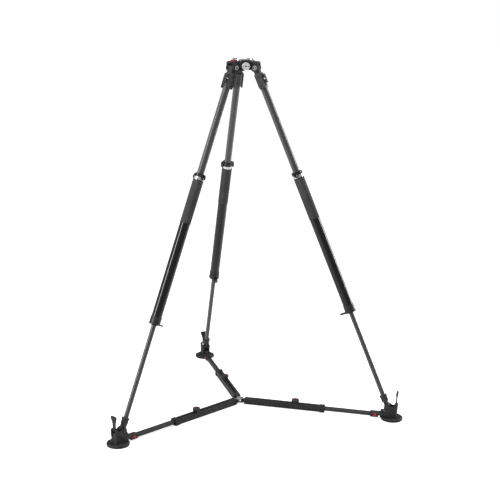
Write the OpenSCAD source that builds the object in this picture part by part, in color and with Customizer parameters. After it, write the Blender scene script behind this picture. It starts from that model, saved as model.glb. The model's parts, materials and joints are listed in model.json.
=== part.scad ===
// Video tripod: a bowl crown, three twist-lock legs of three tubes each, rubber shoes and a ground spreader.
// The origin is the centre of the bowl's rim, +Z is up, and the accessory socket faces -Y.

/* [Stance] */
// Height of the bowl rim above the ground
rim_height = 1540; // [1520:1:1560]
// Lean of each leg from the vertical, in degrees
leg_lean = 23; // [22.5:0.1:23.5]
// Height of the ankle pivots above the ground
ankle_height = 60; // [58:1:62]

/* [Crown] */
// Diameter of the half ball that the bowl takes
bowl_d = 75; // [70:1:76]
// Distance of the leg hinges from the crown's centre line
hinge_r = 59; // [58:1:62]
// Drop of the leg hinges below the bowl rim
hinge_drop = 40; // [38:1:42]
// Width of each of the crown's three lugs
lug_w = 46; // [44:1:50]
// Width of the leg tongue between a lug's two cheeks
tongue_w = 28; // [24:1:30]

/* [Tubes] */
// Outer diameter of the upper tubes
upper_d = 29.8; // [29:0.1:30]
// Outer diameter of the middle tubes
mid_d = 43.4; // [43:0.1:44]
// Outer diameter of the lower tubes
lower_d = 20.4; // [19:0.1:21]
// Outer diameter of the rubber grips
grip_d = 46; // [45:0.1:46.4]
// Distance along the leg from the hinge to the twist-lock ring
lock_at = 470; // [460:1:480]
// Distance along the leg from the hinge to the grip's lower end
grip_end = 684; // [660:1:700]
// Distance along the leg from the hinge to the bottom collar's lower edge
mid_end = 1120; // [1110:1:1130]
// Radial clearance of sliding fits
fit = 0.08; // [0.05:0.01:0.1]

/* [Shoes] */
// Diameter of the round rubber base
pad_d = 95; // [90:1:98]
// Thickness of the base
pad_t = 13; // [12:1:14]
// Distance of the base's centre beyond the ankle pivot
pad_out = 22; // [20:1:24]
// Outward tilt of the strap's pull end, in degrees
strap_tilt = 4; // [0:1:10]

/* [Spreader] */
// Outer width of the channels
channel_w = 30; // [29:0.5:31]
// Distance of the channels' outer ends from the centre
channel_end = 394; // [392:1:398]
// Width of the sliding rails
rail_w = 20; // [20:0.5:21]
// Distance of the clamp knobs from the centre
knob_at = 261; // [258:1:264]
// Diameter of the clamp knobs
knob_d = 34; // [32:1:36]

/* [Hidden] */
$fn = 64;
rear = 90;
left = 210;
right = 330;
SIDES = [rear, left, right];

hinge_z = -hinge_drop;
ground_z = -rim_height;
leg_length = (rim_height - hinge_drop - ankle_height) / cos(leg_lean);
ankle_r = hinge_r + leg_length * sin(leg_lean);
pad_r = ankle_r + pad_out;

deck_z = -8;
lug_top = -12;
lug_reach = 73;
pin_r = 5;
pin_bore_r = pin_r + 0.05;
ring_r = 41.5;
socket_z = -33;

seat_at = lock_at + 14;
tube_top = seat_at + 12;
upper_end = 590;
lower_top = 1010;
yoke_end = 84;
upper_wall = 2;
mid_wall = 1.5;
lower_wall = 1.8;
mid_bore_r = mid_d / 2 - mid_wall;
collar_r = 23.4;
// overlap that joins two touching pieces of one solid
glue = 0.05;

casting_top = leg_length - 50;
casting_floor = leg_length - 26;
strap_r = pad_r + 17;
strap_z = 66;
strap_length = 62;
lug_inner = 640;

rail_top = 29;
rail_bottom = 15;
rail_inner = 235;
rail_outer = 610;
channel_top = 33;
channel_bottom = 9;
bolt_r = 3;
slot_w = 7.2;
coupling_inner = 598;
// how much lower the spreader's parts lie than their heights below say
spreader_drop = 6;
hub_plate_t = 4;
hub_screw_at = 15;

// ---- Placement helpers ----

// Leg frame: origin on the hinge axis, -Z down the leg, +X outwards, Y along the hinge axis
module at_leg(side) {
    rotate([0, 0, side])
        translate([hinge_r, 0, hinge_z])
            rotate([0, -leg_lean, 0])
                children();
}

// Foot frame: origin on the ground under the crown, +X outwards along one arm
module at_foot(side) {
    rotate([0, 0, side])
        translate([0, 0, ground_z])
            children();
}

// Foot frame of the spreader's parts, dropped towards the ground
module at_arm(side) {
    at_foot(side)
        down(spreader_drop)
            children();
}

module down(s) {
    translate([0, 0, -s])
        children();
}

// Round sleeve between two distances along the leg
module tube(r_out, r_in, from, to) {
    down(to)
        difference() {
            cylinder(r = r_out, h = to - from);
            down(1)
                cylinder(r = r_in, h = to - from + 2);
        }
}

// Cylinder along Y, centred on the origin
module cross_bar(r, w) {
    rotate([90, 0, 0])
        cylinder(r = r, h = w, center = true);
}

// Box given by its lowest and highest corners
module box(low, high) {
    translate(low)
        cube(high - low);
}

// ---- Crown ----

module lug_solid() {
    box([30, -lug_w / 2, hinge_z], [lug_reach, lug_w / 2, lug_top]);
    translate([hinge_r, 0, hinge_z])
        cross_bar(17, lug_w);
}

module lug_cuts() {
    // slot for the leg's tongue, closed above by a web
    box([44, -tongue_w / 2 - 0.2, -80], [90, tongue_w / 2 + 0.2, -22]);
    translate([hinge_r, 0, hinge_z])
        cross_bar(pin_bore_r, 80);
    // bevel on the outer top edge and along both sides
    translate([lug_reach + 2, 0, lug_top + 2])
        rotate([0, 45, 0])
            cube([14, 80, 14], center = true);
    for (s = [-1, 1])
        translate([62, s * (lug_w / 2 + 2), lug_top + 2])
            rotate([45, 0, 0])
                cube([70, 9, 9], center = true);
}

module crown_casting() {
    color("#26272a")
        difference() {
            union() {
                rotate([0, 0, 45])
                    translate([0, 0, -38])
                        cylinder(r = 50, h = 38 + deck_z);
                translate([0, 0, -49])
                    cylinder(r = 37, h = 13);
                for (side = SIDES)
                    rotate([0, 0, side])
                        lug_solid();
                // boss behind the accessory socket
                translate([0, -43, socket_z])
                    rotate([90, 0, 0])
                        cylinder(r = 15.5, h = 9);
            }
            for (side = SIDES)
                rotate([0, 0, side])
                    lug_cuts();
            translate([0, 0, -30])
                cylinder(r = ring_r + glue, h = 40);
            translate([0, 0, -42])
                cylinder(r = 33, h = 20);
            translate([0, 0, -60])
                cylinder(r = 27, h = 30);
            translate([0, -42, socket_z])
                rotate([90, 0, 0])
                    cylinder(r = 7 + glue, h = 20);
        }
}

module bowl_ring() {
    color("#d6d8da")
        difference() {
            union() {
                translate([0, 0, -30])
                    cylinder(r = ring_r, h = 29);
                translate([0, 0, deck_z])
                    cylinder(r = ring_r + 1.5, h = -deck_z - 1.5);
                translate([0, 0, -1.5])
                    cylinder(r1 = ring_r + 1.5, r2 = ring_r, h = 1.5);
            }
            translate([0, 0, -4])
                sphere(r = bowl_d / 2, $fn = 96);
            translate([0, 0, -4])
                cylinder(r = bowl_d / 2, h = 10);
            translate([0, 0, -40])
                cylinder(r = 27, h = 20);
        }
}

module accessory_socket() {
    color("#e2e3e4")
        translate([0, 0, socket_z])
            rotate([90, 0, 0])
                difference() {
                    union() {
                        translate([0, 0, 52])
                            cylinder(r = 16.5, h = 5);
                        translate([0, 0, 44])
                            cylinder(r = 7, h = 9);
                    }
                    translate([0, 0, 46])
                        cylinder(r = 4, h = 20);
                    for (s = [-1, 1]) {
                        translate([s * 11.5, 0, 53])
                            cylinder(r = 2.6, h = 10);
                        box([-1, s * 11 - 3, 55.5], [1, s * 11 + 3, 60]);
                    }
                }
}

module crown_badge() {
    color("#c0182c")
        rotate([0, 0, left])
            difference() {
                box([51, -8, lug_top], [65, 8, lug_top + 4]);
                translate([65, 0, lug_top + 5])
                    rotate([0, 45, 0])
                        cube([5, 20, 5], center = true);
            }
}

module hinge_pins() {
    color("#c8cacc")
        for (side = SIDES)
            rotate([0, 0, side])
                translate([hinge_r, 0, hinge_z]) {
                    cross_bar(pin_r, lug_w + 1);
                    for (s = [-1, 1])
                        translate([0, s * (lug_w / 2 + 1.9), 0])
                            difference() {
                                cross_bar(9, 3.6);
                                translate([0, s * 1.8, 0])
                                    cross_bar(6.5, 1.6);
                            }
                }
}

// ---- Legs ----

module leg_yoke(side) {
    color("#3c3d40")
        at_leg(side)
            difference() {
                union() {
                    cross_bar(14, tongue_w);
                    box([-12, -tongue_w / 2, -32], [12, tongue_w / 2, 0]);
                    tube(20, 1, 26, yoke_end);
                    // side rails that run past the sleeve's end
                    for (s = [-1, 1])
                        box([-13, s * 20 - 2.5, -92], [13, s * 20 + 2.5, -28]);
                    // clamp block on the outer side
                    box([10, -10, -74], [25, 10, -34]);
                }
                down(yoke_end + 10)
                    cylinder(r = upper_d / 2 + glue, h = yoke_end - 14);
                cross_bar(pin_bore_r, 60);
                // slit of the clamp
                box([14, -1.2, -90], [40, 1.2, -30]);
                // window between the rails on the inner side
                box([-30, -7, -72], [-17.2, 7, -44]);
                // bolt hole of the clamp
                translate([20, 0, -54])
                    cross_bar(2.6, 60);
            }
}

module upper_tube(side) {
    color("#55565a")
        at_leg(side) {
            tube(upper_d / 2, upper_d / 2 - upper_wall, 25, upper_end);
            // guide bush that runs in the middle tube
            tube(mid_bore_r - fit, upper_d / 2 - 1, upper_end - 32, upper_end - 1);
        }
}

module mid_tube(side) {
    color("#17181a")
        at_leg(side)
            tube(mid_d / 2, mid_bore_r, tube_top, mid_end - 20);
}

module grip_sleeve(side) {
    color("#2c2d2f")
        at_leg(side)
            tube(grip_d / 2, mid_d / 2 + glue, tube_top + 2, grip_end);
}

// Polished seat ring under the twist lock, plugged into the middle tube
module lock_seat(side) {
    color("#dcdddf")
        at_leg(side) {
            tube(22.4, upper_d / 2 + fit, seat_at, tube_top);
            tube(mid_bore_r - glue, upper_d / 2 + fit, tube_top - 1, tube_top + 16);
        }
}

// Twist-lock ring with two looped wings
module lock_ring(side) {
    color("#151617")
        at_leg(side)
            difference() {
                union() {
                    tube(23, upper_d / 2 + 0.6, lock_at, seat_at - 0.2);
                    for (s = [-1, 1]) {
                        box([-8, s * 23.5 - 4.5, 2 - seat_at], [8, s * 23.5 + 4.5, -lock_at - 1]);
                        translate([0, s * 26, -lock_at - 13])
                            cross_bar(11, 4);
                    }
                }
                down(seat_at + 40)
                    cylinder(r = 23.6, h = 39.8);
                down(seat_at + 40)
                    cylinder(r = upper_d / 2 + 0.6, h = 100);
                for (s = [-1, 1])
                    translate([0, s * 27, -lock_at - 14])
                        cross_bar(5.5, 12);
            }
}

module bottom_collar(side) {
    color("#141517")
        at_leg(side) {
            tube(collar_r, mid_d / 2 + glue, mid_end - 34, mid_end - 19.9);
            tube(collar_r, lower_d / 2 + fit, mid_end - 19.95, mid_end);
            tube(mid_bore_r - glue, lower_d / 2 + fit, mid_end - 60, mid_end - 19);
            tube(24.6, lower_d / 2 + fit, mid_end - 6, mid_end);
            // eyelet towards the tripod's centre
            difference() {
                union() {
                    box([-40, -9, -mid_end], [-18, 9, 6 - mid_end]);
                    translate([-40, 0, -mid_end])
                        cylinder(r = 9, h = 6);
                }
                translate([-40, 0, -mid_end - 1])
                    cylinder(r = 5, h = 8);
                down(mid_end + 1)
                    cylinder(r = 15, h = 10);
            }
        }
}

module lower_tube(side) {
    color("#4b4c4f")
        at_leg(side) {
            tube(lower_d / 2, lower_d / 2 - lower_wall, lower_top, casting_floor - 1);
            // guide bush that runs in the middle tube
            tube(mid_bore_r - fit, lower_d / 2 - 1, lower_top + 1, lower_top + 30);
        }
}

module foot_casting(side) {
    color("#2a2b2d")
        at_leg(side) {
            tube(15, lower_d / 2 + glue, casting_top, casting_floor);
            // collar flange round the sleeve's top
            tube(16.5, lower_d / 2 + glue, casting_top, casting_top + 7);
            // floor of the sleeve
            down(casting_floor + 3)
                cylinder(r = 15, h = 3.1);
            down(leg_length) {
                box([-9, -10, 0], [9, 10, 24]);
                cross_bar(11, 20);
                // trunnions that turn in the shoe
                cross_bar(pin_r, 36);
            }
        }
}

// ---- Shoes ----

module shoe(side) {
    color("#303133")
        at_foot(side)
            difference() {
                union() {
                    translate([pad_r, 0, 0])
                        cylinder(d1 = pad_d - 4, d2 = pad_d, h = 4);
                    translate([pad_r, 0, 3.9])
                        cylinder(d = pad_d, h = pad_t - 4.9);
                    translate([pad_r, 0, pad_t - 1.1])
                        cylinder(d1 = pad_d, d2 = pad_d - 8, h = 1.1);
                    // two struts that carry the ankle
                    for (s = [-1, 1])
                        translate([pad_r, s * 14.5 + 3.5, 0])
                            rotate([90, 0, 0])
                                linear_extrude(height = 7)
                                    polygon([
                                        [-28, pad_t - 2], [20, pad_t - 2], [25, 74], [10, 74],
                                        [3, 62], [-10, 67], [-22, 72], [-33, 64], [-30, 38],
                                    ]);
                    translate([ankle_r, 0, ankle_height])
                        for (s = [-1, 1])
                            translate([0, s * 15, 0])
                                cross_bar(12, 8);
                    // bridge between the struts
                    box([pad_r - 20, -12, pad_t - 2], [pad_r + 18, 12, 44]);
                    // lug for the spreader coupling
                    box([lug_inner, -4.5, 1], [pad_r - 20, 4.5, 21]);
                }
                translate([ankle_r, 0, ankle_height])
                    cross_bar(pin_bore_r, 60);
                translate([strap_r, 0, strap_z])
                    cross_bar(3.05, 60);
                // groove round the base
                translate([pad_r, 0, 6])
                    rotate_extrude()
                        translate([pad_d / 2 - 1.6, 0])
                            square([4, 2.2]);
                // windows through the struts
                translate([pad_r - 8, 0, 27])
                    cross_bar(6.5, 80);
                translate([pad_r + 10, 0, 46])
                    cross_bar(4.5, 80);
            }
}

// Rubber pull strap, hinged in the outer posts of the shoe
module shoe_strap(side) {
    color("#232425")
        at_foot(side)
            translate([strap_r, 0, strap_z]) {
                cross_bar(3, 34);
                cross_bar(5.5, 19);
                rotate([0, strap_tilt, 0]) {
                    box([-2, -9.5, 0], [2, 9.5, strap_length - 2]);
                    translate([0, 0, strap_length - 5])
                        cross_bar(5, 34);
                    box([-3.5, -15, strap_length - 20], [3.5, 15, strap_length - 5]);
                }
            }
}

// ---- Spreader ----

module coupling(side) {
    color("#1f2022")
        at_arm(side)
            difference() {
                union() {
                    box([coupling_inner, -13, 12], [634, 13, 33]);
                    // clevis over the shoe's lug
                    for (s = [-1, 1])
                        box([630, s * 9.5 - 3, 20], [662, s * 9.5 + 3, 33]);
                    box([630, -12.5, 30], [662, 12.5, 34]);
                    translate([650, 0, 33])
                        cylinder(r = 6, h = 9);
                    translate([650, 0, 41])
                        cylinder(r = 7.5, h = 5);
                }
                box([coupling_inner - 1, -rail_w / 2 - glue, rail_bottom - glue],
                    [rail_outer + glue, rail_w / 2 + glue, rail_top + glue]);
                // cross slot for the release tab
                box([611.9, -20, 17.9], [626.1, 20, 28.1]);
                // bevels
                for (s = [-1, 1])
                    translate([coupling_inner, s * 15, 22])
                        rotate([0, 0, 45])
                            cube([6, 6, 40], center = true);
            }
}

module release_tab(side) {
    color("#c4182c")
        at_arm(side)
            difference() {
                box([612, -15.5, 18], [626, 15.5, 28]);
                for (s = [-1, 1], x = [615.5, 619, 622.5])
                    box([x - 0.5, s * 15.5 - 0.6, 17], [x + 0.5, s * 15.5 + 0.6, 29]);
            }
}

module spreader_rail(side) {
    color("#3a3b3e")
        at_arm(side)
            difference() {
                box([rail_inner, -rail_w / 2, rail_bottom], [rail_outer, rail_w / 2, rail_top]);
                box([250, -slot_w / 2, 0], [392, slot_w / 2, 40]);
                // grooves along the top and both sides
                box([400, -2.5, rail_top - 1.5], [rail_outer + 1, 2.5, 40]);
                for (s = [-1, 1])
                    box([rail_inner - 1, s * rail_w / 2 - 1.4, 20], [rail_outer + 1, s * rail_w / 2 + 1.4, 24]);
            }
}

module clamp_bolt(side) {
    color("#b9bbbd")
        at_arm(side)
            translate([knob_at, 0, 0]) {
                translate([0, 0, 12])
                    cylinder(r = bolt_r, h = 32);
                box([-8, -8, 12], [8, 8, rail_bottom - 0.2]);
                translate([0, 0, channel_top + 0.1])
                    cylinder(r = 9, h = 1.5);
            }
}

module clamp_knob(side) {
    lobes = 8;
    color("#1b1c1e")
        at_arm(side)
            translate([knob_at, 0, channel_top + 1.8])
                difference() {
                    union() {
                        cylinder(r = 11, h = 5);
                        translate([0, 0, 4])
                            cylinder(d = knob_d, h = 12);
                        translate([0, 0, 15.9])
                            cylinder(d1 = knob_d - 3, d2 = knob_d - 12, h = 3);
                    }
                    down(1)
                        cylinder(r = bolt_r + 0.06, h = 12);
                    for (i = [0 : lobes - 1])
                        rotate([0, 0, i * 360 / lobes])
                            translate([knob_d / 2 + 2.5, 0, 3])
                                cylinder(r = 5, h = 20);
                }
}

module spreader_channel(side) {
    color("#2b2c2e")
        at_arm(side)
            difference() {
                union() {
                    box([27, -channel_w / 2, channel_bottom], [channel_end, channel_w / 2, channel_top]);
                    // end collar that guides the rail
                    box([channel_end - 22, -16.5, 7.5], [channel_end, 16.5, 34.5]);
                    // tongue between the hub's plates
                    box([10, -5, 13.5], [29, 5, 28.5]);
                }
                // cavity that the rail slides in
                box([42, -channel_w / 2 + 2.4, channel_bottom + 2.5],
                    [channel_end - 22, channel_w / 2 - 2.4, channel_top - 2.5]);
                box([channel_end - 23, -rail_w / 2 - 0.06, rail_bottom - 0.06],
                    [channel_end + 1, rail_w / 2 + 0.06, rail_top + 0.06]);
                // slot that the clamp bolt slides in
                box([62, -slot_w / 2, channel_top - 3], [366, slot_w / 2, channel_top + 1]);
                // grooves along both sides
                for (s = [-1, 1])
                    box([45, s * channel_w / 2 - 0.8, 19], [channel_end - 22, s * channel_w / 2 + 0.8, 23]);
            }
}

module spreader_hub() {
    color("#cfd1d3")
        translate([0, 0, ground_z - spreader_drop])
            difference() {
                union() {
                    for (z = [channel_bottom, channel_top - hub_plate_t]) {
                        translate([0, 0, z])
                            rotate([0, 0, 30])
                                cylinder(r = 10.6, h = hub_plate_t);
                        for (side = SIDES)
                            rotate([0, 0, side]) {
                                box([6, -5, z], [hub_screw_at, 5, z + hub_plate_t]);
                                translate([hub_screw_at, 0, z])
                                    cylinder(r = 6, h = hub_plate_t);
                            }
                    }
                    translate([0, 0, channel_bottom + 1])
                        cylinder(r = 3.5, h = channel_top - channel_bottom - 2);
                }
                for (side = SIDES)
                    rotate([0, 0, side])
                        translate([hub_screw_at, 0, channel_top - 5])
                            cylinder(r = 2.55, h = 10);
            }
}

module hub_screws() {
    color("#1d1e20")
        translate([0, 0, ground_z - spreader_drop])
            for (side = SIDES)
                rotate([0, 0, side])
                    translate([hub_screw_at, 0, channel_top - 3.8])
                        difference() {
                            union() {
                                cylinder(r = 2.5, h = 5);
                                translate([0, 0, 3.85])
                                    cylinder(r = 4.4, h = 2.4);
                            }
                            translate([0, 0, 4.8])
                                cylinder(r = 2, h = 4, $fn = 6);
                        }
}

crown_casting();
bowl_ring();
accessory_socket();
crown_badge();
hinge_pins();
spreader_hub();
hub_screws();

leg_yoke(rear);  // rear_leg_yoke
upper_tube(rear);  // rear_upper_tube
mid_tube(rear);  // rear_mid_tube
grip_sleeve(rear);  // rear_grip_sleeve
lock_seat(rear);  // rear_lock_seat
lock_ring(rear);  // rear_lock_ring
bottom_collar(rear);  // rear_bottom_collar
lower_tube(rear);  // rear_lower_tube
foot_casting(rear);  // rear_foot_casting
shoe(rear);  // rear_shoe
shoe_strap(rear);  // rear_shoe_strap
coupling(rear);  // rear_coupling
release_tab(rear);  // rear_release_tab
spreader_rail(rear);  // rear_spreader_rail
clamp_bolt(rear);  // rear_clamp_bolt
clamp_knob(rear);  // rear_clamp_knob
spreader_channel(rear);  // rear_spreader_channel

leg_yoke(left);  // left_leg_yoke
upper_tube(left);  // left_upper_tube
mid_tube(left);  // left_mid_tube
grip_sleeve(left);  // left_grip_sleeve
lock_seat(left);  // left_lock_seat
lock_ring(left);  // left_lock_ring
bottom_collar(left);  // left_bottom_collar
lower_tube(left);  // left_lower_tube
foot_casting(left);  // left_foot_casting
shoe(left);  // left_shoe
shoe_strap(left);  // left_shoe_strap
coupling(left);  // left_coupling
release_tab(left);  // left_release_tab
spreader_rail(left);  // left_spreader_rail
clamp_bolt(left);  // left_clamp_bolt
clamp_knob(left);  // left_clamp_knob
spreader_channel(left);  // left_spreader_channel

leg_yoke(right);  // right_leg_yoke
upper_tube(right);  // right_upper_tube
mid_tube(right);  // right_mid_tube
grip_sleeve(right);  // right_grip_sleeve
lock_seat(right);  // right_lock_seat
lock_ring(right);  // right_lock_ring
bottom_collar(right);  // right_bottom_collar
lower_tube(right);  // right_lower_tube
foot_casting(right);  // right_foot_casting
shoe(right);  // right_shoe
shoe_strap(right);  // right_shoe_strap
coupling(right);  // right_coupling
release_tab(right);  // right_release_tab
spreader_rail(right);  // right_spreader_rail
clamp_bolt(right);  // right_clamp_bolt
clamp_knob(right);  // right_clamp_knob
spreader_channel(right);  // right_spreader_channel
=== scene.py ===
"""Looks for the video tripod: materials, rubber parts, details, floor, light and camera round the frame."""
import json
import math

import bmesh
import bpy
from mathutils import Matrix, Vector


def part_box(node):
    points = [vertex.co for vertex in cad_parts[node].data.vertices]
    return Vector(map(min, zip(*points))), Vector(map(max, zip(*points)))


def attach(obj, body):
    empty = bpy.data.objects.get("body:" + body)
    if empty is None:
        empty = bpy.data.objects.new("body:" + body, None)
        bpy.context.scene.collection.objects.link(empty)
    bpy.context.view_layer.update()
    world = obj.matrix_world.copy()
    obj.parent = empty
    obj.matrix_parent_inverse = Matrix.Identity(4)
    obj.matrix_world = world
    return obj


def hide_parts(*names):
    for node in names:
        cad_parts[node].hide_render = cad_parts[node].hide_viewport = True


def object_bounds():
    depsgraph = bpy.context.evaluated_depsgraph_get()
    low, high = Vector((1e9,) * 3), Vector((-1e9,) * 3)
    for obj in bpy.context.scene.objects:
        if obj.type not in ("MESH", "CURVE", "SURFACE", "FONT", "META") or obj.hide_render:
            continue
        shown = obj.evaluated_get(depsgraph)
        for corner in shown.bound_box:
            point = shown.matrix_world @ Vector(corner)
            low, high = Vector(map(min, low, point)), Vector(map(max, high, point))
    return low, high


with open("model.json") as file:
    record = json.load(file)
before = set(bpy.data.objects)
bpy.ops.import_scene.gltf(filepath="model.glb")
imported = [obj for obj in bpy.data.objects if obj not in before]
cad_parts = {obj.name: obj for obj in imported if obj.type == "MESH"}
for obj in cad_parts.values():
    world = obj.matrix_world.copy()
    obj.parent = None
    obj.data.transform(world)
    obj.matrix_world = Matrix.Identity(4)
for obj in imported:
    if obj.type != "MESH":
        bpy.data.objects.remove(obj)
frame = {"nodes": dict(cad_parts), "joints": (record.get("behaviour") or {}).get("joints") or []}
cad_low, cad_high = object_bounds()

MM = 0.001
SIDES = ("rear", "left", "right")
FLANKS = ((-1, "n"), (1, "p"))  # the two flanks of a leg or shoe, and their marks in piece names
JOINTS = {j["name"]: j for j in frame["joints"]}
GROUND = cad_low[2]
UPPER_TUBE_R, MIDDLE_TUBE_R, LOWER_TUBE_R = 14.9 * MM, 21.7 * MM, 10.2 * MM
SURROUND = 0.34  # light of the white surround on the object
FLOOR_GLOW = 0.76  # lifts the floor to white in view


# ---------------------------------------------------------------- frames

def basis(origin, x, y, z):
    """Matrix whose columns are the given axes at the given origin."""
    m = Matrix((x, y, z)).transposed().to_4x4()
    m.translation = origin
    return m


def leg_frame(side):
    """Hinge point of a leg, +Z up the leg, +X outwards."""
    up = Vector(JOINTS[side + "_middle_slide"]["axis"]).normalized()
    across = -Vector(JOINTS[side + "_leg_spread"]["axis"]).normalized()
    return basis(Vector(JOINTS[side + "_leg_spread"]["pos_m"]), across.cross(up), across, up)


def foot_frame(side):
    """Ground point under the crown, +X outwards along a spreader arm."""
    out = Vector(JOINTS[side + "_clamp_slide"]["axis"]).normalized()
    up = Vector((0, 0, 1))
    return basis(Vector((0, 0, GROUND)), out, up.cross(out), up)


def span_along(node, matrix, axis):
    """Lowest and highest coordinate of a CAD node along one axis of a frame."""
    inverse = matrix.inverted()
    values = [(inverse @ v.co)[axis] for v in frame["nodes"][node].data.vertices]
    return min(values), max(values)


# ---------------------------------------------------------------- materials

class Nodes:
    """Small helper for building a node material."""

    def __init__(self, name):
        self.material = bpy.data.materials.new(name)
        self.material.use_nodes = True
        self.tree = self.material.node_tree
        self.shader = self.tree.nodes["Principled BSDF"]
        self.coords = self.add("ShaderNodeTexCoord").outputs["Object"]

    def add(self, kind, **inputs):
        node = self.tree.nodes.new(kind)
        for key, value in inputs.items():
            name = key.replace("_", " ")
            if hasattr(value, "is_output"):
                self.tree.links.new(value, node.inputs[name])
            else:
                node.inputs[name].default_value = value
        return node

    def math(self, operation, a, b=0.0, c=0.0):
        node = self.tree.nodes.new("ShaderNodeMath")
        node.operation = operation
        for slot, value in zip(node.inputs, (a, b, c)):
            if hasattr(value, "is_output"):
                self.tree.links.new(value, slot)
            else:
                slot.default_value = value
        return node.outputs[0]

    def noise(self, scale, detail=4.0, coords=None):
        node = self.add("ShaderNodeTexNoise", Scale=scale, Detail=detail, Vector=coords or self.coords)
        return node.outputs["Fac"]

    def mix(self, factor, low, high):
        node = self.tree.nodes.new("ShaderNodeMix")
        node.data_type = "RGBA"
        for slot, value in ((node.inputs[0], factor), (node.inputs[6], low), (node.inputs[7], high)):
            if hasattr(value, "is_output"):
                self.tree.links.new(value, slot)
            else:
                slot.default_value = value
        return node.outputs[2]

    def remap(self, value, low, high, from_low=0.0, from_high=1.0):
        node = self.tree.nodes.new("ShaderNodeMapRange")
        self.tree.links.new(value, node.inputs[0])
        for slot, number in zip(node.inputs[1:5], (from_low, from_high, low, high)):
            slot.default_value = number
        return node.outputs[0]

    def set(self, name, value):
        if hasattr(value, "is_output"):
            self.tree.links.new(value, self.shader.inputs[name])
        else:
            self.shader.inputs[name].default_value = value

    def surface(self, height, depth, edge=0.5 * MM):
        """Bump of a height signal over softened edges."""
        soft = self.add("ShaderNodeBevel", Radius=edge)
        soft.samples = 4
        bump = self.add("ShaderNodeBump", Height=height, Distance=depth, Normal=soft.outputs[0])
        bump.inputs["Strength"].default_value = 1.0
        self.tree.links.new(bump.outputs[0], self.shader.inputs["Normal"])

    def edges(self, radius=1.2 * MM):
        """0 on flat faces, rising to 1 on outer edges."""
        soft = self.add("ShaderNodeBevel", Radius=radius)
        soft.samples = 4
        geometry = self.add("ShaderNodeNewGeometry")
        dot = self.tree.nodes.new("ShaderNodeVectorMath")
        dot.operation = "DOT_PRODUCT"
        self.tree.links.new(soft.outputs[0], dot.inputs[0])
        self.tree.links.new(geometry.outputs["Normal"], dot.inputs[1])
        return self.remap(dot.outputs["Value"], 1.0, 0.0, 0.80, 0.985)


def rgba(grey_or_color, scale=1.0):
    if isinstance(grey_or_color, (int, float)):
        grey_or_color = (grey_or_color,) * 3
    return tuple(c * scale for c in grey_or_color) + (1.0,)


def painted(name, color, rough, grain, depth, worn, metallic=0.0):
    """Cast or moulded surface: fine grain, blotchy sheen and lighter worn edges."""
    n = Nodes(name)
    blotch = n.noise(35.0, 6.0)
    base = n.mix(blotch, rgba(color, 0.75), rgba(color, 1.3))
    wear = n.math("MULTIPLY", n.edges(), n.remap(n.noise(90.0), 0.0, 1.0, 0.35, 0.7))
    n.set("Base Color", n.mix(wear, base, rgba(worn)))
    n.set("Metallic", metallic)
    n.set("Roughness", n.remap(n.noise(60.0), rough - 0.06, rough + 0.08))
    n.surface(n.noise(grain, 5.0), depth)
    return n.material


def brushed(name, color, rough, stretch, metallic=1.0):
    """Turned or brushed metal with fine lines along one direction."""
    n = Nodes(name)
    mapping = n.add("ShaderNodeMapping", Vector=n.coords, Scale=stretch)
    lines = n.noise(1.0, 3.0, mapping.outputs[0])
    n.set("Base Color", n.mix(lines, rgba(color, 0.86), rgba(color, 1.08)))
    n.set("Metallic", metallic)
    n.set("Roughness", n.remap(lines, rough - 0.05, rough + 0.1))
    n.surface(lines, 0.02 * MM)
    return n.material


def leg_coords(n, side):
    """Coordinates in a leg's own frame, in metres."""
    matrix = leg_frame(side)
    mapping = n.add("ShaderNodeMapping", Vector=n.coords, Location=matrix.translation,
                    Rotation=matrix.to_euler("XYZ"))
    mapping.vector_type = "TEXTURE"
    return mapping.outputs[0]


def carbon(name, side, radius, dark, light, sheen, rough, coat, coat_rough, shine=0.4, weave=0.05 * MM):
    """Twill carbon fibre wrapped round a tube that runs along the leg, with a painted sheen: paler where it
    is seen edge on.
    """
    n = Nodes(name)
    cell = 1.5 * MM
    axes = n.add("ShaderNodeSeparateXYZ", Vector=leg_coords(n, side))
    angle = n.math("ARCTAN2", axes.outputs["Y"], axes.outputs["X"])
    u = n.math("DIVIDE", n.math("MULTIPLY", angle, radius), cell)
    v = n.math("DIVIDE", axes.outputs["Z"], cell)
    # a 2 x 2 twill: the warp lies on top where the running sum of cells is in the first half
    step = n.math("FLOORED_MODULO", n.math("SUBTRACT", n.math("FLOOR", u), n.math("FLOOR", v)), 4.0)
    warp = n.math("LESS_THAN", step, 1.5)
    across_u = n.math("SINE", n.math("MULTIPLY", n.math("FRACT", u), math.pi))
    across_v = n.math("SINE", n.math("MULTIPLY", n.math("FRACT", v), math.pi))
    crown = n.math("ADD", n.math("MULTIPLY", warp, across_u),
                   n.math("MULTIPLY", n.math("SUBTRACT", 1.0, warp), across_v))
    fibres = n.noise(1.0, 2.0, n.add("ShaderNodeMapping", Vector=leg_coords(n, side),
                                     Scale=(5200.0, 5200.0, 160.0)).outputs[0])
    tone = n.math("MULTIPLY_ADD", fibres, 0.35, n.math("MULTIPLY", warp, 0.38))
    # painted sheen: the colour turns towards the sheen grey where the tube is seen edge on, standing in for
    # reflected light
    facing = n.add("ShaderNodeLayerWeight", Blend=0.5).outputs["Facing"]
    painted_sheen_mask = n.math("POWER", facing, 1.6)
    n.set("Base Color", n.mix(painted_sheen_mask, n.mix(tone, rgba(dark), rgba(light)), rgba(sheen)))
    n.set("Roughness", n.remap(fibres, rough - 0.05, rough + 0.08))
    n.set("Specular IOR Level", shine)
    n.set("Coat Weight", coat)
    n.set("Coat Roughness", coat_rough)
    n.surface(crown, weave, 0.3 * MM)
    return n.material


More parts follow.
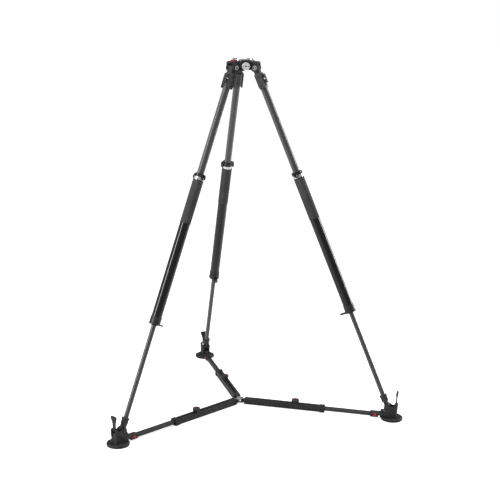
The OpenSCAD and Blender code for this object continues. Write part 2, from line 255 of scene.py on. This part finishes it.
def rubber(name, color, rough, dots=1400.0, depth=0.08 * MM):
    """Moulded rubber with a fine pebble and dusty high spots."""
    n = Nodes(name)
    pebble = n.add("ShaderNodeTexVoronoi", Scale=dots, Vector=n.coords)
    dust = n.remap(n.noise(28.0, 7.0), 0.0, 0.55, 0.45, 0.8)
    base = n.mix(dust, rgba(color), rgba(color, 1.9))
    n.set("Base Color", n.mix(n.math("MULTIPLY", n.edges(1.6 * MM), 0.5), base, rgba(color, 2.6)))
    n.set("Roughness", n.remap(n.noise(120.0), rough - 0.08, rough + 0.06))
    n.set("Specular IOR Level", 0.35)
    height = n.math("ADD", n.math("MULTIPLY", pebble.outputs["Distance"], 0.6), n.noise(900.0))
    n.surface(height, depth, 1.0 * MM)
    return n.material


def anodised(name, color, rough, side):
    """Extruded, anodised aluminium with draw lines along a spreader arm."""
    n = Nodes(name)
    matrix = foot_frame(side)
    local = n.add("ShaderNodeMapping", Vector=n.coords, Rotation=matrix.to_euler("XYZ"))
    local.vector_type = "TEXTURE"
    lines = n.noise(1.0, 3.0, n.add("ShaderNodeMapping", Vector=local.outputs[0],
                                    Scale=(9.0, 1500.0, 1500.0)).outputs[0])
    scuff = n.math("MULTIPLY", n.edges(), n.remap(n.noise(70.0), 0.0, 0.8, 0.4, 0.75))
    base = n.mix(lines, rgba(color, 0.8), rgba(color, 1.25))
    n.set("Base Color", n.mix(scuff, base, rgba(0.33)))
    n.set("Metallic", 0.55)
    n.set("Roughness", n.remap(lines, rough - 0.05, rough + 0.1))
    n.surface(lines, 0.02 * MM)
    return n.material


def make_materials():
    made = {
        "cast": painted("cast_black", 0.012, 0.36, 1500.0, 0.10 * MM, worn=0.20),
        "yoke": painted("yoke_grey", 0.032, 0.42, 1300.0, 0.09 * MM, worn=0.24),
        "polished": brushed("polished_ring", 0.80, 0.18, (300.0, 300.0, 4000.0), 0.85),
        "socket": brushed("socket_alloy", 0.86, 0.34, (900.0, 40.0, 900.0), 0.35),
        "pin": brushed("pin_steel", 0.78, 0.24, (1200.0, 1200.0, 1200.0), 0.7),
        "hub": painted("hub_alloy", 0.62, 0.33, 900.0, 0.03 * MM, worn=0.85, metallic=0.9),
        "bolt": brushed("bolt_steel", 0.60, 0.30, (60.0, 60.0, 3000.0)),
        "red": painted("red_plastic", (0.52, 0.010, 0.028), 0.34, 1100.0, 0.03 * MM,
                       worn=(0.75, 0.12, 0.14)),
        "cap": painted("cap_dark_red", (0.16, 0.006, 0.014), 0.36, 1100.0, 0.03 * MM,
                       worn=(0.35, 0.05, 0.06)),
        "lock": painted("lock_gloss_black", 0.008, 0.20, 700.0, 0.02 * MM, worn=0.09),
        "collar": painted("collar_black", 0.010, 0.40, 1500.0, 0.06 * MM, worn=0.08),
        "foot": painted("foot_casting_grey", 0.020, 0.46, 1300.0, 0.09 * MM, worn=0.16),
        "coupling": painted("coupling_black", 0.016, 0.42, 1600.0, 0.06 * MM, worn=0.10),
        "knob": painted("knob_black", 0.011, 0.44, 1500.0, 0.07 * MM, worn=0.09),
        "screw": painted("black_screw", 0.010, 0.34, 900.0, 0.02 * MM, worn=0.30, metallic=0.6),
        "shoe": rubber("shoe_rubber", 0.019, 0.60),
        "strap": rubber("strap_rubber", 0.015, 0.58),
        "grip": rubber("grip_rubber", 0.036, 0.72, dots=1100.0, depth=0.12 * MM),
        "sole": rubber("sole_rubber", 0.012, 0.80),
    }
    for side in SIDES:
        # sheen is the grey of each tube's painted sheen, where the tube is seen edge on
        made["upper_" + side] = carbon("carbon_satin_" + side, side, UPPER_TUBE_R, dark=0.028, light=0.085,
                                       sheen=0.30, rough=0.36, coat=0.3, coat_rough=0.16)
        made["middle_" + side] = carbon("carbon_gloss_" + side, side, MIDDLE_TUBE_R, dark=0.002, light=0.006,
                                        sheen=0.035, rough=0.30, coat=0.8, coat_rough=0.12, shine=0.10,
                                        weave=0.012 * MM)
        made["lower_" + side] = carbon("carbon_thin_" + side, side, LOWER_TUBE_R, dark=0.028, light=0.075,
                                       sheen=0.24, rough=0.36, coat=0.3, coat_rough=0.16)
        made["rail_" + side] = anodised("rail_" + side, 0.050, 0.40, side)
        made["channel_" + side] = anodised("channel_" + side, 0.022, 0.42, side)
    return made


MATERIALS = make_materials()

# the material of each CAD node, without its side; a name that ends in _ takes the side's own material
CAD_FINISH = {
    "crown_casting": "cast", "bowl_ring": "polished", "accessory_socket": "socket", "crown_badge": "red",
    "hinge_pins": "pin", "spreader_hub": "hub", "hub_screws": "screw", "leg_yoke": "yoke",
    "upper_tube": "upper_", "mid_tube": "middle_", "lock_seat": "polished", "lock_ring": "lock",
    "bottom_collar": "collar", "lower_tube": "lower_", "foot_casting": "foot", "coupling": "coupling",
    "release_tab": "red", "spreader_rail": "rail_", "clamp_bolt": "bolt", "spreader_channel": "channel_",
    "grip_sleeve": "grip", "shoe": "shoe", "shoe_strap": "strap", "clamp_knob": "knob",
}


def finish_cad_nodes():
    """Gives every CAD node its material."""
    for name, obj in frame["nodes"].items():
        side, _, part = name.partition("_")
        if side not in SIDES:
            side, part = "", name
        key = CAD_FINISH[part]
        key = key + side if key.endswith("_") else key
        obj.data.materials.clear()
        obj.data.materials.append(MATERIALS[key])


# ---------------------------------------------------------------- mesh helpers

def place(name, verts, faces, matrix, material, body, slot, smooth=True):
    """Makes a mesh piece in a local frame (millimetres) and lets it ride on a body."""
    mesh = bpy.data.meshes.new(name)
    mesh.from_pydata([matrix @ (Vector(v) * MM) for v in verts], [], faces)
    work = bmesh.new()
    work.from_mesh(mesh)
    bmesh.ops.remove_doubles(work, verts=work.verts, dist=1e-6)
    bmesh.ops.recalc_face_normals(work, faces=work.faces)
    work.to_mesh(mesh)
    work.free()
    obj = bpy.data.objects.new(name, mesh)
    bpy.context.scene.collection.objects.link(obj)
    mesh.materials.append(MATERIALS[material])
    mesh.polygons.foreach_set("use_smooth", [smooth] * len(mesh.polygons))
    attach(obj, body)
    return obj


def lathe(profile, segments=64, radius_of=None):
    """Closed solid of revolution about Z. profile is a closed loop of (radius, height)."""
    verts, faces = [], []
    count = len(profile)
    for i in range(segments):
        turn = 2 * math.pi * i / segments
        for k, (r, z) in enumerate(profile):
            r = radius_of(k, r, turn) if radius_of else r
            verts.append((r * math.cos(turn), r * math.sin(turn), z))
    for i in range(segments):
        here, there = i * count, (i + 1) % segments * count
        for k in range(count):
            after = (k + 1) % count
            if profile[k][0] == 0 and profile[after][0] == 0:
                continue
            faces.append((here + k, here + after, there + after, there + k))
    return verts, faces


def prism(outline, y0, y1):
    """Outline of (x, z) points swept along Y."""
    count = len(outline)
    verts = [(x, y, z) for y in (y0, y1) for x, z in outline]
    faces = [tuple(range(count)), tuple(range(2 * count - 1, count - 1, -1))]
    faces += [(k, k + count, (k + 1) % count + count, (k + 1) % count) for k in range(count)]
    return verts, faces


def joined(shapes):
    """One (verts, faces) pair out of several."""
    verts, faces = [], []
    for more_verts, more_faces in shapes:
        start = len(verts)
        verts += more_verts
        faces += [tuple(start + i for i in face) for face in more_faces]
    return verts, faces


def soften(obj, width, segments):
    """Rounds the edges of a piece that are sharper than 30 degrees."""
    bevel = obj.modifiers.new("round", "BEVEL")
    bevel.width = width * MM
    bevel.segments = segments
    bevel.limit_method = "ANGLE"
    bevel.angle_limit = math.radians(30)


def arc(cx, cz, radius, start, end, steps):
    """Points on an arc, in degrees, as (x, z)."""
    return [(cx + radius * math.cos(math.radians(start + (end - start) * i / steps)),
             cz + radius * math.sin(math.radians(start + (end - start) * i / steps)))
            for i in range(steps + 1)]


def shifted(verts, dx=0.0, dy=0.0, dz=0.0):
    """Vertices moved by an offset."""
    return [(x + dx, y + dy, z + dz) for x, y, z in verts]


def on_side(verts, at, side):
    """Turns a shape about Z into one about Y, its top facing outwards on one side, centred at a point."""
    return [(at[0] + x, at[1] + side * z, at[2] + y) for x, y, z in verts]


# ---------------------------------------------------------------- legs

def grip_piece(side):
    """Rubber grip: a sleeve with beaded ends, rows of raised pads and a plain strip along it."""
    matrix = leg_frame(side)
    node = side + "_grip_sleeve"
    low, high = (v / MM for v in span_along(node, matrix, 2))
    inner, outer = 21.8, span_along(node, matrix, 1)[1] / MM
    rows = 2 * int((high - low - 12) / 3.6)
    step = (high - low - 12) / rows
    profile = [(inner, low), (outer - 0.9, low), (outer, low + 0.9), (outer, low + 4.4),
               (outer - 0.9, low + 5.2)]
    first = len(profile)
    profile += [(outer - 0.9, low + 6 + step * (k + 0.5)) for k in range(rows)]
    last = len(profile)
    profile += [(outer - 0.9, high - 5.2), (outer, high - 4.4), (outer, high - 0.9), (outer - 0.9, high),
                (inner, high)]
    pads = 26

    def textured(k, r, turn):
        if not first <= k < last:
            return r
        row = (k - first) // 2
        phase = (turn * pads / (2 * math.pi) + 0.5 * (row % 2)) % 1.0
        raised = 0.12 < phase < 0.88 and (k - first) % 2 == 0
        plain_strip = math.cos(turn) > 0.93
        return r + (0.9 if plain_strip else 0.75 if raised else 0.0)

    verts, faces = lathe(profile, 156, textured)
    piece = place(side + "_grip_rubber", verts, faces, matrix, "grip", side + "_middle_leg", "grip_rubber")
    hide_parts(node)


def lock_details(side):
    """Turned lip and grip ribs of the twist lock, and a bead round its polished seat."""
    matrix = leg_frame(side)
    low, high = (v / MM for v in span_along(side + "_lock_ring", matrix, 2))
    tube_r = span_along(side + "_lock_seat", matrix, 1)[1] / MM
    top = high
    lip = [(16.0, top), (21.2, top), (22.2, top - 0.6), (22.2, top + 0.4), (20.4, top + 1.6),
           (16.4, top + 1.6)]
    verts, faces = lathe(lip, 72)
    place(side + "_lock_lip", verts, faces, matrix, "lock", side + "_twist_lock", "lock_plastic")
    ribs = []
    rib_verts, rib_faces = prism(arc(22.9, 0, 0.7, 90, -90, 6), top - 11, top - 2)
    for turn in [a for a in range(0, 360, 9) if abs(math.sin(math.radians(a))) < 0.85]:
        spin = Matrix.Rotation(math.radians(turn), 3, "Z")
        ribs.append(([tuple(spin @ Vector((x, z, y))) for x, y, z in rib_verts], rib_faces))
    place(side + "_lock_ribs", *joined(ribs), matrix, "lock", side + "_twist_lock", "lock_plastic")
    wall = tube_r + 0.02
    ring = [(wall - 1.2, low + 9.0), (wall + 0.25, low + 9.4), (wall + 0.25, low + 10.6),
            (wall - 1.2, low + 11.0)]
    verts, faces = lathe(ring, 72)
    place(side + "_seat_bead", verts, faces, matrix, "polished", side + "_middle_leg", "polished_alloy")


def tube_marks(side):
    """Rubber wiper under the bottom collar and a raised band round the collar."""
    matrix = leg_frame(side)
    low = span_along(side + "_bottom_collar", matrix, 2)[0] / MM
    lip = [(10.5, low), (14.5, low), (15.5, low - 1.2), (14.0, low - 3.0), (10.5, low - 3.0)]
    verts, faces = lathe(lip, 48)
    place(side + "_collar_wiper", verts, faces, matrix, "strap", side + "_middle_leg", "strap_rubber")
    band_top = low + 34
    band = [(21.8, band_top), (22.9, band_top), (23.3, band_top - 0.5), (23.75, band_top - 3),
            (23.75, band_top - 6), (23.3, band_top - 8), (21.9, band_top - 8)]
    verts, faces = lathe(band, 64)
    place(side + "_collar_band", verts, faces, matrix, "collar", side + "_middle_leg", "collar_plastic")


def yoke_details(side):
    """Clamp screw ends and side rail rivets of a leg's top casting."""
    matrix = leg_frame(side)
    body = side + "_upper_leg"
    screw_x, screw_y, screw_z = 19.8, 10.0, -54.0
    screw = [(0, 0), (4.2, 0), (4.2, 2.6), (3.8, 3.0), (2.3, 3.0), (2.3, 1.4), (0, 1.4)]
    rail_face, rivet_heights = 22.5, (-40.0, -80.0)
    rivet = [(0, 0), (3.0, 0), (3.0, 0.9), (2.4, 1.4), (0, 1.4)]
    for s, mark in FLANKS:
        verts, faces = lathe(screw, 36)
        verts = on_side(verts, (screw_x, screw_y * s, screw_z), s)
        place(f"{side}_yoke_screw_{mark}", verts, faces, matrix, "bolt", body, "pin_steel")
        for k, height in enumerate(rivet_heights):
            verts, faces = lathe(rivet, 28)
            verts = on_side(verts, (0.0, rail_face * s, height), s)
            place(f"{side}_rail_rivet_{mark}{k}", verts, faces, matrix, "screw", body, "black_steel")


def hinge_caps(side):
    """Black plugs inside the silver hinge-pin heads."""
    matrix = leg_frame(side)
    pin_face = 24.75
    plug = [(0, 0), (6.4, 0), (6.4, 1.6), (5.8, 2.0), (3.2, 2.0), (2.6, 0.8), (0, 0.8)]
    for s, mark in FLANKS:
        verts, faces = lathe(plug, 48)
        verts = on_side(verts, (0.0, pin_face * s, 0.0), s)
        place(f"{side}_hinge_plug_{mark}", verts, faces, matrix, "cast", "crown", "cast_alloy")


def socket_details():
    """Painted shade: black discs at the bottoms of the accessory socket's three holes and black blocks in its
    two slots.
    """
    low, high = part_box("accessory_socket")
    face, height = low.y / MM, (low.z + high.z) / 2 / MM
    here = Matrix.Identity(4)
    holes = ((0.0, 4.0, 5.0), (-11.5, 2.6, 3.0), (11.5, 2.6, 3.0))
    # each black disc is painted shade at the bottom of a hole
    for k, (x, radius, depth) in enumerate(holes):
        verts, faces = lathe([(0, 0), (radius - 0.05, 0), (radius - 0.05, 0.5), (0, 0.3)], 32)
        verts = on_side(verts, (x, face + depth, height), -1)
        place(f"socket_hole_{k}", verts, faces, here, "screw", "crown", "black_steel")
    slot_at, half_w, half_h = 11, 0.95, 2.95
    corners = ((-half_w, -half_h), (half_w, -half_h), (half_w, half_h), (-half_w, half_h))
    faces = [(0, 1, 2, 3), (7, 6, 5, 4), (0, 4, 5, 1), (1, 5, 6, 2), (2, 6, 7, 3), (3, 7, 4, 0)]
    # each black block is painted shade inside a slot
    for k, s in enumerate((-1, 1)):
        verts = [(x, face + y, height + s * slot_at + z) for y in (0.25, 1.4) for x, z in corners]
        place(f"socket_slot_{k}", verts, faces, here, "screw", "crown", "black_steel", smooth=False)


def crown_details():
    """Deck screws of the crown and a bead round the bowl."""
    up = Vector((0, 0, 1))
    screw_x, screw_y, deck = 47.5, 17.0, -12.1
    head = [(0, 0), (2.9, 0), (2.9, 1.2), (2.5, 1.7), (1.5, 1.7), (1.5, 0.6), (0, 0.6)]
    for side in SIDES:
        hinge = leg_frame(side).translation
        out = Vector((hinge.x, hinge.y, 0)).normalized()
        flat = basis(Vector((0, 0, 0)), out, up.cross(out), up)
        for k, s in enumerate((-1, 1)):
            verts, faces = lathe(head, 32)
            verts = shifted(verts, screw_x, screw_y * s, deck)
            place(f"{side}_deck_screw_{k}", verts, faces, flat, "bolt", "crown", "pin_steel")
    bead = [(41.4, -5.0), (43.15, -5.0), (43.3, -4.6), (43.3, -3.9), (43.15, -3.5), (41.4, -3.5)]
    verts, faces = lathe(bead, 120)
    place("bowl_bead", verts, faces, Matrix.Identity(4), "polished", "crown", "polished_alloy")


# ---------------------------------------------------------------- shoes

def shoe_base(side, matrix, centre, radius):
    """Round rubber base with a rolled rim, and the tread rings under it."""
    rim = [(0, 0.0), (radius - 3.0, 0.0), (radius - 1.2, 0.7), (radius - 0.2, 2.4), (radius - 0.2, 4.6),
           (radius - 1.4, 5.4), (radius - 1.5, 7.0), (radius - 0.1, 7.8), (radius, 9.4), (radius - 0.9, 11.4),
           (radius - 3.4, 12.8), (radius - 7.0, 12.9), (radius - 9.0, 11.9), (radius - 20.0, 12.3), (0, 12.6)]

    def scalloped(k, r, turn):
        return r - (0.35 if 8 <= k <= 9 and math.cos(turn * 36) > 0.3 else 0.0)

    verts, faces = lathe(rim, 180, scalloped)
    base = place(side + "_shoe_base", shifted(verts, dx=centre), faces, matrix, "shoe", side + "_foot",
                 "shoe_rubber")
    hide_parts(side + "_shoe")
    tread = []
    for r in (12.0, 22.0, 32.0, 41.0):
        verts, faces = lathe([(r, 0.05), (r + 1.2, 0.0), (r + 4.0, 0.0), (r + 5.2, 0.05), (r + 5.2, 1.0),
                              (r, 1.0)], 90)
        tread.append((shifted(verts, dx=centre), faces))
    place(side + "_shoe_sole", *joined(tread), matrix, "sole", side + "_foot", "shoe_rubber")


def shoe_struts(side, matrix, centre):
    """The two plates that hold the ankle and the strap, with their raised eyes and the ankle's caps."""
    body = side + "_foot"
    inner_face, outer_face = 11.2, 18.0
    ankle = matrix.inverted() @ Vector(JOINTS[side + "_ankle"]["pos_m"])
    ax, az = ankle.x / MM, ankle.z / MM
    strap_x, strap_z = centre + 17, 66.0
    outline = ([(centre - 34, 11), (centre - 31, 18), (centre - 31, 34), (ax - 13.0, az - 14)]
               + arc(ax, az, 12.0, 150, 60, 8)
               + [(ax + 13, az + 6), (ax + 19, az + 1), (strap_x - 10, strap_z - 5)]
               + arc(strap_x, strap_z, 7.5, 125, -10, 8)
               + [(strap_x + 6.5, strap_z - 24), (strap_x + 4.0, 34), (strap_x + 7.0, 18),
                  (strap_x + 12, 11)])
    eyes = ((centre - 9, 30.0, 7.0), (centre + 7, 42.0, 5.0))
    cap = [(0, 0), (8.6, 0), (8.6, 1.2), (7.6, 2.0), (5.4, 2.0), (4.8, 1.0), (0, 1.0)]
    for s, mark in FLANKS:
        verts, faces = prism(outline, *sorted((s * inner_face, s * outer_face)))
        strut = place(f"{side}_shoe_strut_{mark}", verts, faces, matrix, "shoe", body, "shoe_rubber")
        soften(strut, 1.8, 4)
        for k, (x, z, size) in enumerate(eyes):
            eye = [(size - 1.6, 0), (size, 0), (size, 1.4), (size - 0.5, 1.9), (size - 1.6, 1.4)]
            verts, faces = lathe(eye, 40)
            verts = on_side(verts, (x, outer_face * s - 0.3 * s, z), s)
            place(f"{side}_strut_eye{k}_{mark}", verts, faces, matrix, "shoe", body, "shoe_rubber")
        verts, faces = lathe(cap, 44)
        verts = on_side(verts, (ax, outer_face * s, az), s)
        place(f"{side}_ankle_cap_{mark}", verts, faces, matrix, "foot", body, "foot_alloy")


def shoe_piece(side):
    """Moulded shoe: a round base, two struts with raised eyes round the ankle, a gusset between them and a
    lug.
    """
    matrix = foot_frame(side)
    radius = 47.5
    centre = span_along(side + "_shoe", matrix, 0)[1] / MM - radius
    shoe_base(side, matrix, centre, radius)
    shoe_struts(side, matrix, centre)
    gusset = [(centre - 27, 11), (centre - 24, 26), (centre - 20, 42), (centre - 4, 45), (centre + 8, 43),
              (centre + 15, 54), (centre + 20, 52), (centre + 21, 34), (centre + 24, 11)]
    verts, faces = prism(gusset, -11.6, 11.6)
    soften(place(side + "_shoe_gusset", verts, faces, matrix, "shoe", side + "_foot", "shoe_rubber"), 1.5, 3)
    lug_tip = 640.4
    lug = [(lug_tip, 2), (lug_tip, 17), (lug_tip + 2.1, 20.5), (lug_tip + 7.6, 21), (centre - 22, 21),
           (centre - 20, 12), (lug_tip + 9.6, 2)]
    verts, faces = prism(lug, -4.4, 4.4)
    soften(place(side + "_shoe_lug", verts, faces, matrix, "shoe", side + "_foot", "shoe_rubber"), 1.2, 3)


def strap_piece(side):
    """Rubber pull strap: a waisted blade that flares into a rolled pull end."""
    matrix = foot_frame(side)
    pivot = matrix.inverted() @ Vector(JOINTS[side + "_strap_pull"]["pos_m"])
    px, pz = pivot.x / MM, pivot.z / MM
    tilt = math.radians(4)
    # distance along the strap, half width and half thickness
    stations = [(-4, 9.6, 4.6), (2, 9.6, 4.6), (8, 9.2, 3.6), (18, 8.8, 2.8), (30, 9.6, 2.8),
                (39, 12.4, 3.4), (47, 15.6, 4.4), (54, 17.2, 5.2), (59, 17.0, 4.8), (62.5, 15.4, 3.0)]
    sides = 20
    verts, faces = [], []
    for along, half_w, half_t in stations:
        for i in range(sides):
            turn = 2 * math.pi * i / sides
            c, s = math.cos(turn), math.sin(turn)
            across = half_w * math.copysign(abs(c) ** 0.45, c)
            thick = half_t * math.copysign(abs(s) ** 0.6, s)
            x = thick * math.cos(tilt) + along * math.sin(tilt)
            z = -thick * math.sin(tilt) + along * math.cos(tilt)
            verts.append((px + x, across, pz + z))
    for k in range(len(stations) - 1):
        for i in range(sides):
            j = (i + 1) % sides
            faces.append((k * sides + i, k * sides + j, (k + 1) * sides + j, (k + 1) * sides + i))
    faces.append(tuple(range(sides)))
    faces.append(tuple(range(len(verts) - 1, len(verts) - sides - 1, -1)))
    piece = place(side + "_strap_rubber", verts, faces, matrix, "strap", side + "_strap", "strap_rubber")
    smooth = piece.modifiers.new("smooth", "SUBSURF")
    smooth.levels = smooth.render_levels = 2
    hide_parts(side + "_shoe_strap")
    pin = [(0, -16.8), (2.6, -16.8), (3.0, -16.2), (3.0, 16.2), (2.6, 16.8), (0, 16.8)]
    verts, faces = lathe(pin, 32)
    place(side + "_strap_pin", on_side(verts, (px, 0.0, pz), 1), faces, matrix, "bolt", side + "_strap",
          "pin_steel")


# ---------------------------------------------------------------- spreader

def knob_piece(side):
    """Scalloped clamp knob with a dished top and a red centre cap."""
    matrix = foot_frame(side)
    node = side + "_clamp_knob"
    low, high = (v / MM for v in span_along(node, matrix, 2))
    x_low, x_high = (v / MM for v in span_along(node, matrix, 0))
    axis_x, radius = (x_low + x_high) / 2, 17.0
    profile = [(3.2, low), (10.4, low), (11.2, low + 0.8), (11.2, low + 3.0), (radius - 1.2, low + 3.6),
               (radius, low + 4.8), (radius, high - 5.2), (radius - 0.5, high - 3.4),
               (radius - 2.6, high - 1.6), (11.6, high - 0.8), (7.4, high - 0.6), (6.7, high - 2.2),
               (3.2, high - 2.2)]

    def scalloped(k, r, turn):
        if 4 <= k <= 8:
            return r - 2.2 * (0.5 + 0.5 * math.cos(8 * turn)) ** 2.2
        return r

    verts, faces = lathe(profile, 192, scalloped)
    piece = place(side + "_knob_body", shifted(verts, dx=axis_x), faces, matrix, "knob", side + "_knob",
                  "knob_plastic")
    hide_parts(node)
    cap = [(0, high - 2.6), (6.4, high - 2.6), (6.4, high - 1.0), (5.9, high - 0.5), (4.0, high - 0.1),
           (0, high + 0.1)]
    verts, faces = lathe(cap, 72)
    place(side + "_knob_cap", shifted(verts, dx=axis_x), faces, matrix, "cap", side + "_knob", "red_plastic")


def arm_details(side):
    """Screws of the channel's end collar and the coupling's grip ribs."""
    matrix = foot_frame(side)
    end = span_along(side + "_spreader_channel", matrix, 0)[1] / MM
    top = span_along(side + "_spreader_channel", matrix, 2)[1] / MM
    head = [(0, -0.4), (2.4, -0.4), (2.4, 0.7), (1.9, 1.1), (1.0, 1.1), (1.0, 0.3), (0, 0.3)]
    for k, (x, y) in enumerate(((end - 16, 11.5), (end - 16, -11.5), (end - 5, 11.5), (end - 5, -11.5))):
        verts, faces = lathe(head, 28)
        verts = shifted(verts, x, y, top)
        place(f"{side}_collar_screw{k}", verts, faces, matrix, "screw", side + "_arm", "black_steel")
    first_rib, rib_pitch, coupling_face = 602.4, 3.0, 13.0
    ribs = []
    for k in range(3):
        for s in (-1, 1):
            verts, faces = prism(arc(first_rib + rib_pitch * k, 0, 0.9, 180, 0, 8), 9.5, 23.5)
            ribs.append(([(x, s * (coupling_face + z), y) for x, y, z in verts], faces))
    place(side + "_coupling_ribs", *joined(ribs), matrix, "coupling", side + "_foot", "coupling_plastic")


# ---------------------------------------------------------------- stage

def floor_material():
    """Pale floor, near white in view with soft contact shadows, and clear when seen from below."""
    n = Nodes("floor_white")
    n.set("Base Color", rgba(0.80))
    n.set("Roughness", n.remap(n.noise(3.0), 0.85, 0.95))
    n.set("Specular IOR Level", 0.0)
    n.set("Emission Color", rgba(1.0))
    seen = n.tree.nodes.new("ShaderNodeLightPath").outputs["Is Camera Ray"]
    n.set("Emission Strength", n.math("MULTIPLY", seen, FLOOR_GLOW))
    below = n.tree.nodes.new("ShaderNodeNewGeometry").outputs["Backfacing"]
    n.set("Alpha", n.math("SUBTRACT", 1.0, below))
    return n.material


def floor():
    """Floor plane just under the soles, large enough to have no visible horizon."""
    size = 160.0
    bpy.ops.mesh.primitive_plane_add(size=size, location=(0, 0, GROUND - 0.5 * MM))
    plane = bpy.context.object
    plane.name = "studio_floor"
    plane.data.materials.append(floor_material())


def area_light(name, location, target, size, power, shape=(1.0, 1.0)):
    """Rectangular soft light that faces a target."""
    data = bpy.data.lights.new(name, "AREA")
    data.shape = "RECTANGLE"
    data.size, data.size_y = size * shape[0], size * shape[1]
    data.energy = power
    lamp = bpy.data.objects.new(name, data)
    bpy.context.scene.collection.objects.link(lamp)
    lamp.location = location
    lamp.rotation_euler = (Vector(target) - Vector(location)).to_track_quat("-Z", "Y").to_euler()


def lights():
    """White behind the object; a dimmer, soft surround lights it so that the blacks stay deep."""
    world = bpy.data.worlds.new("studio")
    bpy.context.scene.world = world
    world.use_nodes = True
    tree = world.node_tree
    background = tree.nodes["Background"]
    background.inputs["Color"].default_value = (1.0, 1.0, 1.0, 1.0)
    seen = tree.nodes.new("ShaderNodeLightPath").outputs["Is Camera Ray"]
    strength = tree.nodes.new("ShaderNodeMapRange")
    tree.links.new(seen, strength.inputs[0])
    strength.inputs[3].default_value = SURROUND
    strength.inputs[4].default_value = 1.0
    tree.links.new(strength.outputs[0], background.inputs["Strength"])
    middle = (0, 0, GROUND / 2)
    area_light("key_left", (-3.2, -1.2, 0.6), middle, 1.0, 110, (0.7, 3.2))
    area_light("key_right", (3.4, 0.2, 0.4), middle, 1.0, 110, (0.7, 3.2))
    area_light("top_soft", (0.0, -0.6, 2.6), middle, 2.4, 45)


def camera():
    """Camera of the photograph: distance, height and aim found by fitting the legs' perspective."""
    distance, height = 4.396, 1.665
    azimuth, yaw, pitch, roll = (math.radians(v) for v in (255.0, 0.54, 12.25, -0.74))
    view_from = Vector((math.cos(azimuth), math.sin(azimuth), 0))
    ahead = -view_from
    side = ahead.cross(Vector((0, 0, 1)))
    flat = ahead * math.cos(yaw) + side * math.sin(yaw)
    right = side * math.cos(yaw) - ahead * math.sin(yaw)
    forward = flat * math.cos(pitch) - Vector((0, 0, math.sin(pitch)))
    up = right.cross(forward)
    tilted_right = right * math.cos(roll) - up * math.sin(roll)
    tilted_up = right * math.sin(roll) + up * math.cos(roll)
    data = bpy.data.cameras.new("photo_camera")
    data.sensor_width = 36.0
    data.lens = 73.7
    data.clip_end = 300.0
    obj = bpy.data.objects.new("photo_camera", data)
    bpy.context.scene.collection.objects.link(obj)
    place_at = view_from * distance + Vector((0, 0, GROUND + height))
    obj.matrix_world = basis(place_at, tilted_right, tilted_up, -forward)
    bpy.context.scene.camera = obj
    bpy.context.scene.view_settings.view_transform = "Standard"


finish_cad_nodes()
socket_details()
crown_details()
for leg_side in SIDES:
    grip_piece(leg_side)
    lock_details(leg_side)
    tube_marks(leg_side)
    yoke_details(leg_side)
    hinge_caps(leg_side)
    shoe_piece(leg_side)
    strap_piece(leg_side)
    knob_piece(leg_side)
    arm_details(leg_side)
floor()
lights()
camera()
